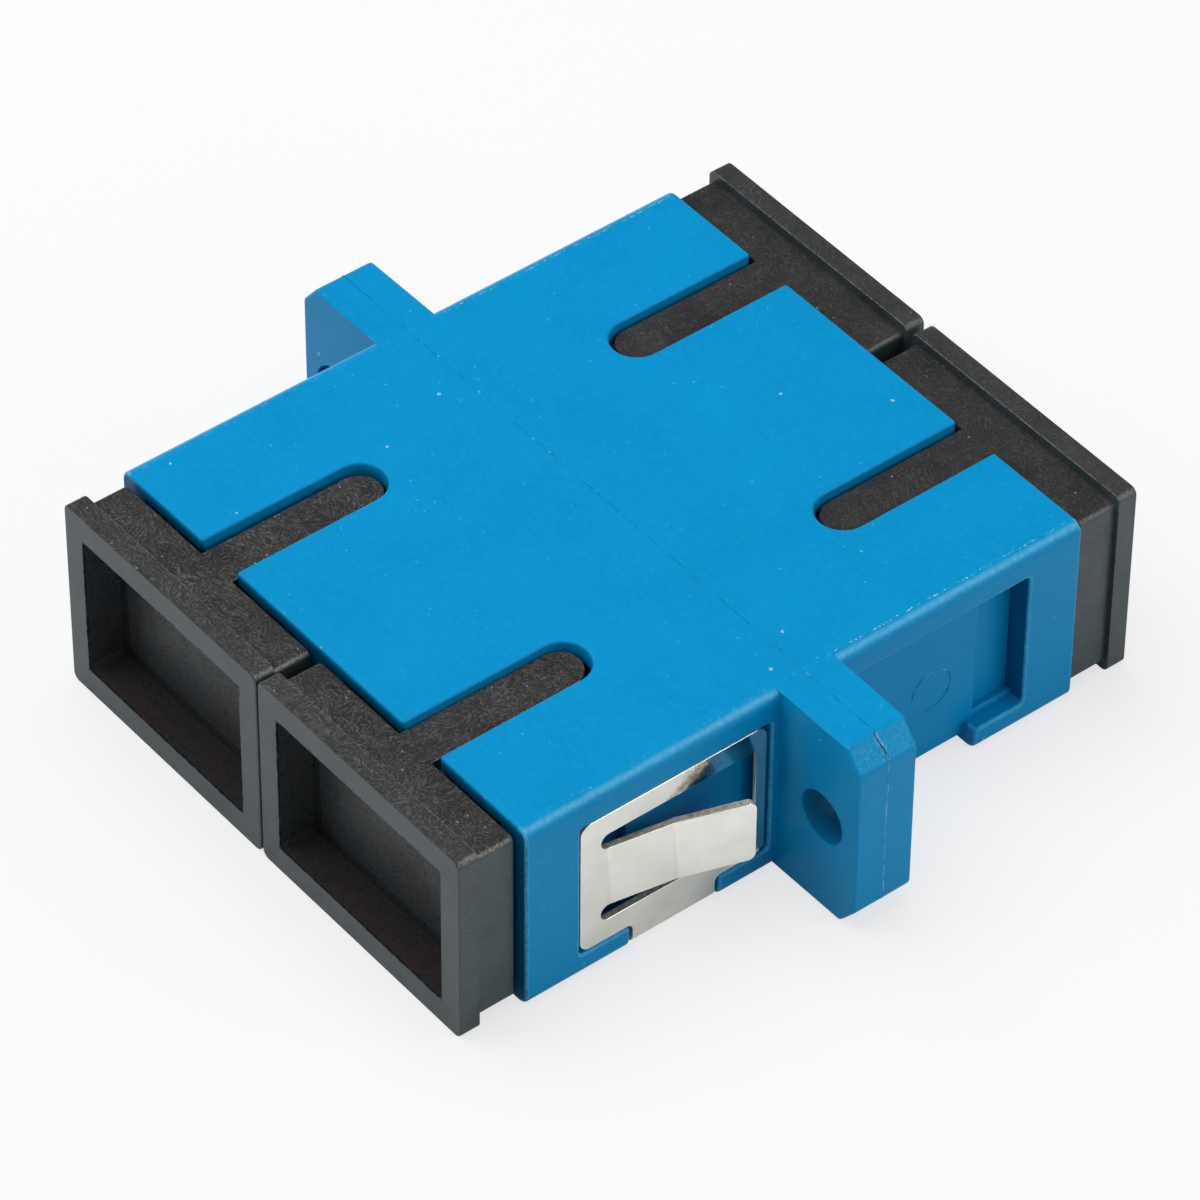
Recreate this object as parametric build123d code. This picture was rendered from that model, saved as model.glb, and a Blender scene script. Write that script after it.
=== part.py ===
"""Duplex fibre optic adapter with panel clip and dust caps.

Two identical blue mouldings are welded back to back at the flange. Each port holds a mated pair of
latch mouldings with a split sleeve between them, and each mouth is closed by a soft dust cap.

Frame: X runs across the flange, Y along the ports, Z up. The origin is the centre of the weld plane.
Every piece of the far side (+Y) is modelled first. The near side is the same piece turned half a turn
about Z, as in the real assembly, where one mould makes both halves. The near caps sit in their side
clearance, pushed towards each other.
"""

import os
from math import cos, radians, sin

from build123d import *

# Housing moulding, one of two
port_pitch = 12.7
body_width = 2 * port_pitch
body_height = 9.25
half_length = 13.6
edge_radius = 0.5
port_width = 9.1
port_height = 7.45
mouth_bevel = 0.25
key_slot_width = 2.25
key_slot_length = 7.85

# Flange, shared equally by the two halves
ear_width = 4.6
flange_width = body_width + 2 * ear_width
flange_half = 1.43
flange_bevel_x = 0.82
flange_bevel_z = 1.03
screw_inset = 2.05
screw_hole_diameter = 2.4
peg_diameter = 0.9
peg_length = 0.7
peg_inset = 0.75
peg_height = 3.0
peg_clearance = 0.06

# Side recess for the clip
recess_land = 0.4
recess_length = 9.2
recess_height = 6.8
recess_drop = 0.1
recess_depth = 0.75
recess_corner = 0.2
panel_step = 0.35
panel_inset = 0.25
marked_panel_length = 1.9
plain_panel_length = 2.7

# Sprung clip, one folded sheet
clip_thickness = 0.3
clip_inset = 0.05
clip_end_gap = 0.05
clip_flange_gap = 0.21
clip_edge_gap = 0.07
clip_corner = 0.5
strap_width = 4.0
strap_clearance = 0.17
strap_lift = 0.1
strap_bend = 0.55
strap_root_radius = 0.3
window_frame = 0.5
window_root = 0.98
slot_height = 0.76
tongue_height = 3.04
tongue_root = 0.4
tongue_first_run = 2.9
tongue_first_angle = 10.5
tongue_tip_gap = 1.16
tongue_second_angle = 18.8
tongue_bend_radius = 1.5
tongue_corner = 0.35

# Dust cap
cap_reach = 2.95
cap_seat_gap = 0.2
lip_gap = 0.3
lip_width = port_pitch - lip_gap
lip_height = 9.35
lip_thickness = 0.93
lip_corner = 0.35
collar_gap = 0.74
collar_width = port_pitch - collar_gap
collar_height = 8.5
collar_corner = 0.25
pocket_width = 10.13
pocket_height = 6.85
pocket_depth = 1.85
pocket_corner = 0.3
pocket_floor_radius = 0.27
cap_web = 0.9
plug_length = 7.6
plug_side_length = 5.0
plug_wall = 0.8
plug_clearance = 0.06
plug_side_clearance = 0.14
near_cap_shift = 0.1
plug_lead = 0.35
key_side_gap = 0.12
key_end_gap = 0.27

# Latch moulding, two in each port
holder_plate_width = 10.4
holder_plate_thickness = 0.95
holder_clearance = 0.05
tube_diameter = 4.6
tube_length = 6.2
tube_lip_bore = 2.9
tube_lip = 0.4
tube_lead = 0.3
arm_flex_gap = 0.25
arm_thickness = 0.85
arm_height = 3.8
arm_length = 8.1
arm_root_radius = 0.4
hook_reach = 0.7
hook_land = 0.35
hook_back = 0.25
hook_ramp = 0.75

# Split sleeve
sleeve_bore = 2.5
sleeve_wall = 0.35
sleeve_length = 11.4
sleeve_slit = 0.45
sleeve_float = 0.06

# Places worked out from the sizes above
half_turn = Rot(0, 0, 180)
side_face = body_width / 2
body_floor = -body_height / 2
port_centres = {"left": -port_pitch / 2, "right": port_pitch / 2}
recess_start = flange_half + recess_land
recess_end = recess_start + recess_length
recess_centre = (recess_start + recess_end) / 2
recess_floor = side_face - recess_depth
screw_spacing = flange_width - 2 * screw_inset
clip_start = recess_start + clip_flange_gap
clip_end = recess_end - clip_end_gap
window_start = clip_start + window_frame
window_end = clip_end - window_root
sleeve_diameter = sleeve_bore + 2 * sleeve_wall
cap_face = half_length + cap_reach
plug_tip = half_length - plug_length
key_top = collar_height / 2
beyond = 1.0
same_place = 1e-4


def block(x_range, y_range, z_range):
    """A box between two corners."""
    low, high = zip(x_range, y_range, z_range)
    size = [b - a for a, b in zip(low, high)]
    return Pos(*low) * Box(*size, align=(Align.MIN, Align.MIN, Align.MIN))


def along_y(sketch, start, end):
    """Extrude a sketch drawn in X and Z from one Y to another."""
    placed = Plane((0, start, 0), x_dir=(1, 0, 0), z_dir=(0, -1, 0)) * sketch
    return extrude(placed, amount=end - start, dir=(0, 1, 0))


def along_x(sketch, start, end):
    """Extrude a sketch drawn in Y and Z from one X to another."""
    placed = Plane((start, 0, 0), x_dir=(0, 1, 0), z_dir=(1, 0, 0)) * sketch
    return extrude(placed, amount=end - start, dir=(1, 0, 0))


def rod_y(radius, x, z, start, end):
    """A round bar along Y."""
    return along_y(Pos(x, z) * Circle(radius), start, end)


def flange_blank():
    """Half of the flange: a plate as high as the body, with all four outer corners bevelled."""
    x = flange_width / 2
    z = body_height / 2
    down = [(x - flange_bevel_x, z), (x, z - flange_bevel_z)]
    up = down[::-1]
    outline = []
    for sx, sz, corner in ((1, 1, down), (1, -1, up), (-1, -1, down), (-1, 1, up)):
        outline += [(sx * px, sz * pz) for px, pz in corner]
    return along_y(Polygon(*outline, align=None), 0, flange_half)


def port_cut(x):
    """One port: the square passage, its bevelled mouth, the keyway and the seat of the latch moulding."""
    passage = along_y(Pos(x, 0) * Rectangle(port_width, port_height), -beyond, half_length + beyond)
    mouth_plane = Plane((x, half_length, 0), x_dir=(1, 0, 0), z_dir=(0, -1, 0))
    mouth = Rectangle(port_width + 2 * mouth_bevel, port_height + 2 * mouth_bevel)
    bevel = extrude(mouth_plane * mouth, amount=mouth_bevel, taper=45)
    radius = key_slot_width / 2
    end = half_length - key_slot_length + radius
    slot = Pos(x, (end + half_length + beyond) / 2) * Rectangle(key_slot_width, half_length + beyond - end)
    keyway = extrude(slot + Pos(x, end) * Circle(radius), amount=body_height)
    seat_width = holder_plate_width + 2 * holder_clearance
    seat_depth = holder_plate_thickness + holder_clearance
    seat = along_y(Pos(x, 0) * Rectangle(seat_width, port_height), -beyond, seat_depth)
    return passage + bevel + keyway + seat


def side_recess(side, panel_length):
    """The clip's recess in one side face, with the deeper panel at its outer end."""
    outline = RectangleRounded(recess_length, recess_height, recess_corner)
    pocket = along_x(Pos(recess_centre, -recess_drop) * outline, recess_floor, side_face + beyond)
    panel_height = recess_height - 2 * panel_inset
    panel = Pos(recess_end - panel_length / 2, -recess_drop) * Rectangle(panel_length, panel_height)
    cut = pocket + along_x(panel, recess_floor - panel_step, side_face)
    return cut if side > 0 else mirror(cut, Plane.YZ)


def strap_channel():
    """The channel that the clip's strap runs in: across the floor and up both sides to the recess."""
    half_width = strap_width / 2 + strap_clearance
    y_range = (recess_centre - half_width, recess_centre + half_width)
    reach = side_face + beyond
    bottom = body_floor - beyond
    floor = block((-reach, reach), y_range, (bottom, body_floor + clip_thickness + strap_lift))
    riser = block((recess_floor, reach), y_range, (bottom, -recess_drop))
    return floor + riser + mirror(riser, Plane.YZ)


def locating_pegs(radius, length, start):
    """Two short pegs in one ear, above and below the screw hole."""
    x = side_face + peg_inset
    return [rod_y(radius, x, z, start, start + length) for z in (-peg_height, peg_height)]


def housing_half():
    """The moulding that makes each half: body, half flange, ports, recesses, pegs and peg holes."""
    body = along_y(Rectangle(body_width, body_height), 0, half_length)
    body = fillet(body.edges().filter_by(Axis.Y), edge_radius)
    half = body + flange_blank()
    for x in port_centres.values():
        half -= port_cut(x)
    half -= side_recess(1, marked_panel_length)
    half -= side_recess(-1, plain_panel_length)
    half -= strap_channel()
    for x in (-screw_spacing / 2, screw_spacing / 2):
        half -= rod_y(screw_hole_diameter / 2, x, 0, -beyond, flange_half + beyond)
    for hole in locating_pegs(peg_diameter / 2 + peg_clearance, peg_length + peg_clearance, 0):
        half -= mirror(hole, Plane.YZ)
    for peg in locating_pegs(peg_diameter / 2, 2 * peg_length, -peg_length):
        half += peg
    return half


def clip_sheet():
    """The clip before its windows are cut: a U of sheet, trimmed to two plates and one strap."""
    outer_x = side_face - clip_inset
    top = recess_height / 2 - recess_drop - clip_edge_gap
    outer = Pos(0, (top + body_floor) / 2) * Rectangle(2 * outer_x, top - body_floor)
    outer = fillet(outer.vertices().group_by(Axis.Y)[0], strap_bend)
    inner_x = outer_x - clip_thickness
    inner_floor = body_floor + clip_thickness
    inner = Pos(0, (top + beyond + inner_floor) / 2) * Rectangle(2 * inner_x, top + beyond - inner_floor)
    inner = fillet(inner.vertices().group_by(Axis.Y)[0], strap_bend - clip_thickness)
    sheet = along_y(outer - inner, recess_start, recess_end)
    plate_height = recess_height - 2 * clip_edge_gap
    plate = RectangleRounded(clip_end - clip_start, plate_height, clip_corner)
    plate = Pos((clip_start + clip_end) / 2, -recess_drop) * plate
    strap_drop = body_height
    strap = Pos(recess_centre, -recess_drop - strap_drop / 2) * Rectangle(strap_width, strap_drop)
    outline = plate + strap
    plate_floor = -recess_drop - plate_height / 2
    low = [v for v in outline.vertices() if abs(v.Y - plate_floor) < same_place]
    corners = [v for v in low if abs(abs(v.X - recess_centre) - strap_width / 2) < same_place]
    outline = fillet(corners, strap_root_radius)
    return sheet & along_x(outline, -body_width, body_width)


def tongue_window():
    """The opening round the tongue: two round-ended slots that meet in front of the tongue's tip."""
    height = tongue_height + 2 * slot_height
    tongue_start = window_end - tongue_root
    window = Pos((window_start + tongue_start) / 2, 0) * Rectangle(tongue_start - window_start, height)
    slot = SlotOverall(window_end - window_start, slot_height)
    for side in (-1, 1):
        z = side * (tongue_height + slot_height) / 2
        window += Pos((window_start + window_end) / 2, z) * slot
    return along_x(Pos(0, -recess_drop) * window, -body_width, body_width)


def tongue():
    """The right-hand tongue: rooted at the outer end of the plate and bent outwards in two steps."""
    start_x = side_face - clip_inset - clip_thickness / 2
    first_length = tongue_root + tongue_first_run * cos(radians(tongue_first_angle))
    second_length = window_end - window_start - tongue_tip_gap - first_length
    second_run = second_length / cos(radians(tongue_second_angle))
    bends = ((tongue_root, 0), (tongue_first_run, tongue_first_angle), (second_run, tongue_second_angle))
    points = [(start_x, window_end, -recess_drop)]
    for run, angle in bends:
        x, y, z = points[-1]
        points.append((x + run * sin(radians(angle)), y - run * cos(radians(angle)), z))
    path = FilletPolyline(*points, radius=tongue_bend_radius)
    section = Plane(points[0], x_dir=(0, 0, 1), z_dir=(0, -1, 0)) * Rectangle(tongue_height, clip_thickness)
    sheet = sweep(section, path=path)
    tip = [e for e in sheet.edges() if abs(e.length - clip_thickness) < same_place]
    tip = sorted(tip, key=lambda e: e.center().Y)[:2]
    return fillet(tip, tongue_corner)


def panel_clip():
    """The folded clip: two plates with sprung tongues, joined by the strap under the body."""
    clip = clip_sheet() - tongue_window()
    for blade in (tongue(), mirror(tongue(), Plane.YZ)):
        clip += blade
    return clip


def cap_key():
    """The rib that lies in the housing's keyway, with its inner end rounded like the slot."""
    radius = key_slot_width / 2 - key_side_gap
    end = half_length - key_slot_length + key_slot_width / 2 + key_end_gap - key_side_gap
    start = half_length + cap_seat_gap
    rib = Pos(0, (end + start) / 2) * Rectangle(2 * radius, start - end) + Pos(0, end) * Circle(radius)
    floor = port_height / 2 - plug_clearance - plug_wall
    return extrude(Pos(0, 0, floor) * rib, amount=key_top - floor)


def dust_cap():
    """One cap: lip, collar, blind grip pocket, and a hollow plug that ends in two flat prongs."""
    collar_back = half_length + cap_seat_gap
    lip_back = cap_face - lip_thickness
    cap = along_y(RectangleRounded(lip_width, lip_height, lip_corner), lip_back, cap_face)
    cap += along_y(RectangleRounded(collar_width, collar_height, collar_corner), collar_back, lip_back)
    plug_width = port_width - 2 * plug_side_clearance
    plug_height = port_height - 2 * plug_clearance
    plug = along_y(Rectangle(plug_width, plug_height), plug_tip, collar_back)
    tip_edges = plug.faces().sort_by(Axis.Y)[0].edges().filter_by(Axis.X)
    cap += chamfer(tip_edges, plug_lead)
    cap += cap_key()
    hollow_width = plug_width - 2 * plug_wall
    hollow_height = plug_height - 2 * plug_wall
    hollow_end = cap_face - pocket_depth - cap_web
    cap -= along_y(Rectangle(hollow_width, hollow_height), plug_tip - beyond, hollow_end)
    side_end = half_length - plug_side_length
    cap -= along_y(Rectangle(plug_width + beyond, hollow_height), plug_tip - beyond, side_end)
    pocket = along_y(RectangleRounded(pocket_width, pocket_height, pocket_corner),
                     cap_face - pocket_depth, cap_face + beyond)
    floor_edges = pocket.faces().sort_by(Axis.Y)[0].edges()
    return cap - fillet(floor_edges, pocket_floor_radius)


def hook_arm():
    """The right-hand latch arm: a flat spring with a hook that grips the plug's shoulder."""
    outer = port_width / 2 - arm_flex_gap
    inner = outer - arm_thickness
    hook_end = arm_length - hook_ramp
    hook_start = hook_end - hook_land
    outline = [(outer, 0), (outer, arm_length), (inner, arm_length), (inner - hook_reach, hook_end),
               (inner - hook_reach, hook_start), (inner, hook_start - hook_back), (inner, 0)]
    return extrude(Polygon(*outline, align=None), amount=arm_height / 2, both=True)


def sleeve_holder():
    """One latch moulding: base plate, sleeve tube with an inturned lip, and two latch arms."""
    bore = sleeve_diameter / 2 + sleeve_float
    plate_height = port_height - 2 * holder_clearance
    holder = along_y(Rectangle(holder_plate_width, plate_height), 0, holder_plate_thickness)
    tube = rod_y(tube_diameter / 2, 0, 0, 0, tube_length)
    tube = chamfer(tube.faces().sort_by(Axis.Y)[-1].edges(), tube_lead)
    arm = hook_arm()
    holder = holder + tube + arm + mirror(arm, Plane.YZ)
    corner_x = port_width / 2 - arm_flex_gap - arm_thickness
    upright = holder.edges().filter_by(Axis.Z)
    on_plate = [e for e in upright if abs(e.center().Y - holder_plate_thickness) < same_place]
    roots = [e for e in on_plate if abs(abs(e.center().X) - corner_x) < same_place]
    holder = fillet(roots, arm_root_radius)
    holder -= rod_y(bore, 0, 0, -beyond, tube_length - tube_lip)
    return holder - rod_y(tube_lip_bore / 2, 0, 0, 0, tube_length + beyond)


def split_sleeve():
    """The zirconia sleeve that lines up the two ferrules: a thin tube slit from end to end."""
    ring = Circle(sleeve_diameter / 2) - Circle(sleeve_bore / 2)
    ring -= Pos(0, sleeve_diameter / 2) * Rectangle(sleeve_slit, sleeve_diameter)
    return along_y(ring, -sleeve_length / 2, sleeve_length / 2)


def all_pieces():
    """Every piece in its place, by name."""
    half = housing_half()
    cap = dust_cap()
    holder = sleeve_holder()
    sleeve = split_sleeve()
    pieces = {"housing_far": half, "housing_near": half_turn * half, "panel_clip": half_turn * panel_clip()}
    for side, x in port_centres.items():
        near_x = x - near_cap_shift if x > 0 else x + near_cap_shift
        pieces[f"dust_cap_far_{side}"] = Pos(x, 0, 0) * cap
        pieces[f"dust_cap_near_{side}"] = Pos(near_x, 0, 0) * half_turn * cap
        pieces[f"sleeve_holder_far_{side}"] = Pos(x, 0, 0) * holder
        pieces[f"sleeve_holder_near_{side}"] = Pos(x, 0, 0) * half_turn * holder
        pieces[f"split_sleeve_{side}"] = Pos(x, 0, 0) * sleeve
    return pieces


os.makedirs("parts", exist_ok=True)
for name, piece in all_pieces().items():
    export_step(piece, f"parts/{name}.step")
    print(name, "volume", round(piece.volume, 2))
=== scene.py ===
"""Looks of a duplex fibre optic adapter.

Two blue mouldings are welded back to back, a bright spring clip is folded round the near one, and four black
dust caps close the ports. Lengths in this file are millimetres unless a name says otherwise.
"""

from math import cos, pi, radians, sin

import bmesh
import bpy
import numpy as np
from mathutils import Matrix, Vector


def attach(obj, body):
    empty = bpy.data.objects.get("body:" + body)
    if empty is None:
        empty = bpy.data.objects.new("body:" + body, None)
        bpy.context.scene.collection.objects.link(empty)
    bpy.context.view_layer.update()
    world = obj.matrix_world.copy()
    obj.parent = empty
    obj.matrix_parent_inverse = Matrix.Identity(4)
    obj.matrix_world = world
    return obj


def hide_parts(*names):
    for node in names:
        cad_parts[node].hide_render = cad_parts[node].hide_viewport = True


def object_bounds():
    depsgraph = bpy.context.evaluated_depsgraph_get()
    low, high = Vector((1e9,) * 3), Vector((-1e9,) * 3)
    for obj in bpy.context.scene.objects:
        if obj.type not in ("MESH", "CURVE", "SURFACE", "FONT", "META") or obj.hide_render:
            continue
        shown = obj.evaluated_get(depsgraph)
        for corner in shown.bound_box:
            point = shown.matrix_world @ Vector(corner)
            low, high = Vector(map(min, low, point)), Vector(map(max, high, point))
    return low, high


MM = 0.001
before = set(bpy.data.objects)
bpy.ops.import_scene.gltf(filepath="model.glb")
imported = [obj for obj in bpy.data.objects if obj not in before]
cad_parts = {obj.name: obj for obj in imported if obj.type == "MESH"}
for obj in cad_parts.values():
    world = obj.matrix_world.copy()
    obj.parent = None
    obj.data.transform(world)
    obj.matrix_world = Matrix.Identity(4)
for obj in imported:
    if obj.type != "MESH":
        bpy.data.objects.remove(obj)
cad_box = [list(corner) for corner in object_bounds()]

# Where the CAD pieces have the features that the looks follow, as distances from the middle. Only the body's
# upper face and the caps' lips lie above UPPER_Z.
TOP_Z = 4.625
UPPER_Z = 4.5
SIDE_X = 12.7
END_Y = 13.6
CORNER_START_X = 12.2
RECESS_X = 11.95
RECESS_END_Y = 11.03
EAR_X = 17.3
EAR_FACE_Y = 1.43
SLOPE_X, SLOPE_Z = 16.48, 3.595
SCREW_X = 15.25
SCREW_RADIUS = 1.2
CAP_X_NEAR, CAP_X_FAR = 6.25, 6.35
RIM_Y = 16.55
LIP_BACK_Y = 15.62
COLLAR_Z = 4.25
POCKET_X, POCKET_Z = 5.065, 3.425
PLUG_TIP_Y = 6.4
STRIP_X = 12.65

# Places on the clip: beyond the first lies its window's end, and below the second its strap bends inwards
WINDOW_END_Y = -3.2
STRAP_BEND_Z = -3.6


# Camera: the photograph's viewing angle, from a least squares fit
IMAGE_PIXELS = 1200
SENSOR = 36.0
FOCAL_PIXELS = 7310.4
AZIMUTH, ELEVATION, ROLL = radians(51.174), radians(43.527), radians(0.49)
AIM = Vector((0.757, -0.599, 0.0))
DISTANCE = 284.7


def add_camera():
    """A long lens on a small object: the back axis follows azimuth and elevation, roll turns about it."""
    back = Vector((sin(AZIMUTH) * cos(ELEVATION), -cos(AZIMUTH) * cos(ELEVATION), sin(ELEVATION)))
    level = Vector((cos(AZIMUTH), sin(AZIMUTH), 0.0))
    upright = back.cross(level)
    x_axis = cos(ROLL) * level + sin(ROLL) * upright
    y_axis = cos(ROLL) * upright - sin(ROLL) * level
    data = bpy.data.cameras.new("camera")
    data.lens = FOCAL_PIXELS / IMAGE_PIXELS * SENSOR
    data.sensor_width = SENSOR
    data.clip_start, data.clip_end = 0.01, 20.0
    camera = bpy.data.objects.new("camera", data)
    bpy.context.scene.collection.objects.link(camera)
    matrix = Matrix((x_axis, y_axis, back)).transposed().to_4x4()
    matrix.translation = (AIM + back * DISTANCE) * MM
    camera.matrix_world = matrix
    bpy.context.scene.camera = camera


# Materials. Texture scales are per metre: 1000 gives features about 1 mm apart.


def colour(code):
    """An sRGB hex colour as linear red, green, blue and alpha."""
    values = [int(code[i:i + 2], 16) / 255 for i in (1, 3, 5)]
    return [v / 12.92 if v <= 0.04045 else ((v + 0.055) / 1.055) ** 2.4 for v in values] + [1.0]


def add(tree, kind, sockets=None, **settings):
    """Add a node. Each socket takes a value, a hex colour, another socket, or a node's first output."""
    node = tree.nodes.new("ShaderNode" + kind)
    for key, value in settings.items():
        setattr(node, key, value)
    for key, value in (sockets or {}).items():
        if isinstance(value, bpy.types.Node):
            value = next(socket for socket in value.outputs if socket.enabled)
        if isinstance(value, bpy.types.NodeSocket):
            tree.links.new(value, node.inputs[key])
        else:
            node.inputs[key].default_value = colour(value) if isinstance(value, str) else value
    return node


def new_material(name):
    """An empty node material with its output."""
    material = bpy.data.materials.new(name)
    material.use_nodes = True
    tree = material.node_tree
    tree.nodes.clear()
    return material, tree, add(tree, "OutputMaterial")


# Satin ABS, injection moulded in a spark-eroded tool: a saturated cyan blue, even from a distance, whose very
# fine grain breaks up the sheen. The long edges turn pale, partly rubbed and partly a painted highlight, and
# dust and chips show as pale specks. Painted shade darkens the screw holes' bores, the end faces behind the
# caps and the recesses' end walls.
def blue_abs(name, rub_and_highlight=0.0, frosted=0.0):
    material, tree, output = new_material(name)
    place = add(tree, "TexCoord").outputs["Object"]
    x, y, z = add(tree, "SeparateXYZ", {0: place}).outputs
    across = add(tree, "Math", {0: x}, operation="ABSOLUTE")
    aside = add(tree, "Math", {0: y}, operation="ABSOLUTE")

    cloud = add(tree, "TexNoise", {"Vector": place, "Scale": 240.0, "Detail": 3.0})
    cloud = add(tree, "MapRange", {"Value": cloud, "From Min": 0.3, "From Max": 0.7})
    base = add(tree, "Mix", {0: cloud, 6: "#008cc6", 7: "#0092ce"}, data_type="RGBA")
    grain = add(tree, "TexNoise", {"Vector": place, "Scale": 4400.0, "Detail": 3.0, "Roughness": 0.7})
    mottle = add(tree, "MapRange", {"Value": grain, "From Min": 0.35, "From Max": 0.75, "To Max": 0.35})
    base = add(tree, "Mix", {0: mottle, 6: base, 7: "#08a4de"}, data_type="RGBA")

    # Dust: specks up to 0.04 mm in radius, where the face passes the middle of one of half the 0.4 mm cells,
    # and ragged crumbs up to 0.08 mm in radius in half the 1.2 mm cells
    dust = add(tree, "TexVoronoi", {"Vector": place, "Scale": 2500.0})
    lot = add(tree, "TexWhiteNoise", {"Vector": dust.outputs["Position"]})
    reach = add(tree, "MapRange", {"Value": lot, "From Min": 0.5, "To Max": 0.1})
    speck = add(tree, "Math", {0: dust, 1: reach}, operation="LESS_THAN")
    speck = add(tree, "Math", {0: speck, 1: 0.45}, operation="MULTIPLY")
    base = add(tree, "Mix", {0: speck, 6: base, 7: "#8fd0ee"}, data_type="RGBA")
    crumbs = add(tree, "TexVoronoi", {"Vector": place, "Scale": 830.0})
    lot = add(tree, "TexWhiteNoise", {"Vector": crumbs.outputs["Position"]})
    reach = add(tree, "MapRange", {"Value": lot, "From Min": 0.5, "To Max": 0.065})
    ragged = add(tree, "Math", {0: grain, 1: 0.2, 2: crumbs}, operation="MULTIPLY_ADD")
    ragged = add(tree, "Math", {0: ragged, 1: 0.1}, operation="SUBTRACT")
    speck = add(tree, "Math", {0: ragged, 1: reach}, operation="LESS_THAN")
    speck = add(tree, "Math", {0: speck, 1: 0.55}, operation="MULTIPLY")
    base = add(tree, "Mix", {0: speck, 6: base, 7: "#b5e2f5"}, data_type="RGBA")

    # Chips in a band 0.18 mm wide along the two long upper edges, where the rounded corner begins
    chips = add(tree, "TexNoise", {"Vector": place, "Scale": 5200.0, "Detail": 3.0, "Roughness": 0.7})
    chips = add(tree, "MapRange", {"Value": chips, "From Min": 0.57, "From Max": 0.65})
    edge_line = add(tree, "Math", {0: across, 1: (CORNER_START_X + 0.02) * MM, 2: 0.09 * MM},
                    operation="COMPARE")
    upper = add(tree, "Math", {0: z, 1: UPPER_Z * MM}, operation="GREATER_THAN")
    chipped = add(tree, "Math", {0: edge_line, 1: upper}, operation="MULTIPLY")
    chipped = add(tree, "Math", {0: chipped, 1: chips}, operation="MULTIPLY")
    chipped = add(tree, "Math", {0: chipped, 1: 0.15}, operation="MULTIPLY")
    base = add(tree, "Mix", {0: chipped, 6: base, 7: "#9ad4ee"}, data_type="RGBA")

    # Painted shade in the screw holes' bores, patchy with the cloud
    from_axis = add(tree, "Math", {0: across, 1: SCREW_X * MM}, operation="SUBTRACT")
    from_axis = add(tree, "CombineXYZ", {"X": from_axis, "Z": z})
    from_axis = add(tree, "VectorMath", {0: from_axis}, operation="LENGTH").outputs["Value"]
    bore = add(tree, "Math", {0: from_axis, 1: (SCREW_RADIUS + 0.1) * MM}, operation="LESS_THAN")
    inside = add(tree, "Math", {0: aside, 1: (EAR_FACE_Y - 0.08) * MM}, operation="LESS_THAN")
    bore = add(tree, "Math", {0: bore, 1: inside}, operation="MULTIPLY")
    patchy_bore_shade = add(tree, "MapRange", {"Value": cloud, "To Min": 0.25, "To Max": 0.6})
    bore = add(tree, "Math", {0: bore, 1: patchy_bore_shade}, operation="MULTIPLY")
    base = add(tree, "Mix", {0: bore, 6: base, 7: "#1d4a63"}, data_type="RGBA")

    # Painted shade on the end faces, darkest down by the caps' collars, and on the recesses' end walls
    seat = add(tree, "Math", {0: aside, 1: (END_Y - 0.1) * MM}, operation="GREATER_THAN")
    seat_shade = add(tree, "Math", {0: z}, operation="ABSOLUTE")
    seat_shade = add(tree, "MapRange", {"Value": seat_shade, "From Min": (TOP_Z - 0.075) * MM,
                                   "From Max": (COLLAR_Z + 0.03) * MM, "To Max": 0.8})
    seat_shade = add(tree, "Math", {0: seat_shade, 1: seat}, operation="MULTIPLY")
    base = add(tree, "Mix", {0: seat_shade, 6: base, 7: "#00395c"}, data_type="RGBA")
    normal = add(tree, "NewGeometry").outputs["Normal"]
    normal = add(tree, "VectorMath", {0: normal}, operation="ABSOLUTE")
    out_x, out_y, _ = add(tree, "SeparateXYZ", {0: normal}).outputs
    # Painted shade on the recesses' end walls, where they face along the body
    wall = add(tree, "Math", {0: aside, 1: RECESS_END_Y * MM, 2: 0.03 * MM}, operation="COMPARE")
    outside = add(tree, "Math", {0: across, 1: (RECESS_X - 0.45) * MM}, operation="GREATER_THAN")
    wall = add(tree, "Math", {0: wall, 1: outside}, operation="MULTIPLY")
    facing = add(tree, "Math", {0: out_y, 1: 0.9}, operation="GREATER_THAN")
    wall = add(tree, "Math", {0: wall, 1: facing}, operation="MULTIPLY")
    wall = add(tree, "Math", {0: wall, 1: 0.65}, operation="MULTIPLY")
    base = add(tree, "Mix", {0: wall, 6: base, 7: "#003a58"}, data_type="RGBA")

    # Painted highlight on the body's long upper edges: a pale band where the rounding starts, picked out by
    # the slope of the face
    rising = add(tree, "MapRange", {"Value": out_x, "From Min": 0.2, "From Max": 0.5})
    falling = add(tree, "MapRange", {"Value": out_x, "From Min": 0.85, "From Max": 0.65})
    painted_edge_highlight = add(tree, "Math", {0: rising, 1: falling}, operation="MULTIPLY")
    body = add(tree, "Math", {0: across, 1: (SIDE_X - 0.25) * MM, 2: 0.3 * MM}, operation="COMPARE")
    painted_edge_highlight = add(tree, "Math", {0: painted_edge_highlight, 1: body}, operation="MULTIPLY")
    raised = add(tree, "Math", {0: z, 1: (TOP_Z - 0.625) * MM}, operation="GREATER_THAN")
    painted_edge_highlight = add(tree, "Math", {0: painted_edge_highlight, 1: raised}, operation="MULTIPLY")
    fading = add(tree, "MapRange", {"Value": grain, "From Min": 0.3, "From Max": 0.6, "To Min": 0.25,
                                    "To Max": 0.5})
    painted_edge_highlight = add(tree, "Math", {0: painted_edge_highlight, 1: fading}, operation="MULTIPLY")
    base = add(tree, "Mix", {0: painted_edge_highlight, 6: base, 7: "#74c8ec"}, data_type="RGBA")

    if rub_and_highlight:
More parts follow.
